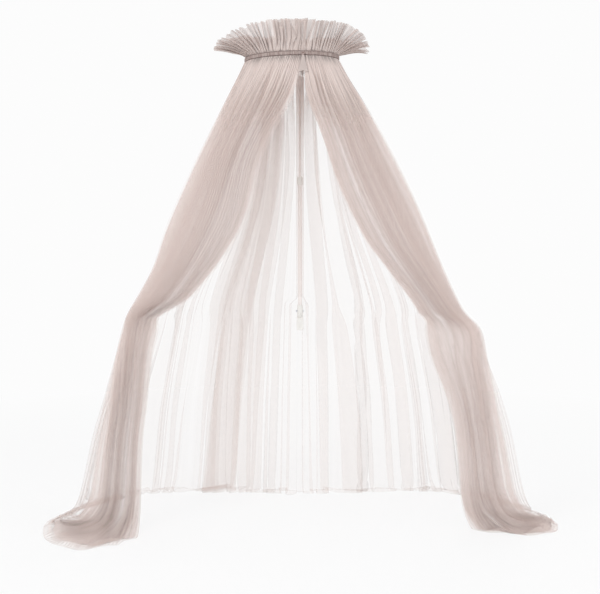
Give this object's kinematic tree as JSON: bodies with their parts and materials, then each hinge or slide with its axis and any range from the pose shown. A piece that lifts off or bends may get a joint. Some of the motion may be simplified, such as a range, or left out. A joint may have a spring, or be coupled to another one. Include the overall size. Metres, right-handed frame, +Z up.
{
  "type": "bed crown canopy",
  "caption": "Sheer veil hung from an oval hoop with a pleated ruffle, on a telescopic pole that clamps over a bed rail, with curtains that part in front and pool on the floor.",
  "frame": {"origin": "middle of the clamp's saddle, on the rubber face that rests on the top of the bed's rail, below the pole's axis", "axes": "+Z up along the pole, X along the bed rail, -Y towards the front of the bed, where the curtains part"},
  "size_m": [2.191, 1.0157, 2.1621],
  "materials": {
    "voile": "sheer dusty pink voile with a fine plain weave",
    "ribbon": "matte dusty pink cord",
    "white_lacquer": "satin white lacquer on steel",
    "white_plastic": "moulded white plastic, fine texture",
    "grey_rubber": "matte grey rubber",
    "zinc_steel": "bright zinc-plated steel"
  },
  "bodies": {
    "stand": {"clamp_frame": "white_plastic", "jaw_liner": "grey_rubber", "lower_tube": "white_lacquer", "socket_bolt": "zinc_steel", "socket_nut": "zinc_steel", "guide_bush": "white_plastic"},
    "height_lock": {"lock_collar": "white_plastic"},
    "crown": {"upper_tube": "white_lacquer", "tube_slider": "white_plastic", "hoop_tee": "white_plastic", "tee_screw": "zinc_steel", "hoop_screw_left": "zinc_steel", "hoop_screw_right": "zinc_steel", "crown_hoop": "white_lacquer", "gathered_casing": "voile", "drawstring": "ribbon", "crown_ruffle": "voile", "veil_left_panel": "voile", "veil_back_panel": "voile", "veil_right_panel": "voile"},
    "clamp_pad": {"pressure_pad": "white_plastic", "pad_rubber": "grey_rubber"},
    "clamp_screw": {"clamp_spindle": "zinc_steel", "clamp_knob": "white_plastic", "knob_cap": "white_plastic"}
  },
  "joints": [
    {"name": "pole_height", "type": "slide", "parent": "stand", "child": "crown", "axis": [0, 0, 1], "range_m": [-0.15, 0.15]},
    {"name": "lock_collar_turn", "type": "hinge", "parent": "stand", "child": "height_lock", "pos_m": [0, 0, 0.64], "axis": [0, 0, 1], "range_deg": [0, 120]},
    {"name": "pad_advance", "type": "slide", "parent": "stand", "child": "clamp_pad", "axis": [0, -1, 0], "range_m": [-0.01, 0.01]},
    {"name": "clamp_screw_turn", "type": "hinge", "parent": "clamp_pad", "child": "clamp_screw", "pos_m": [0, 0.03, -0.026], "axis": [0, -1, 0], "range_deg": [-1440, 1440]}
  ],
  "couplings": [
    {"joint": "pad_advance", "follows": "clamp_screw_turn", "m_per_rad": 0.00039788}
  ]
}
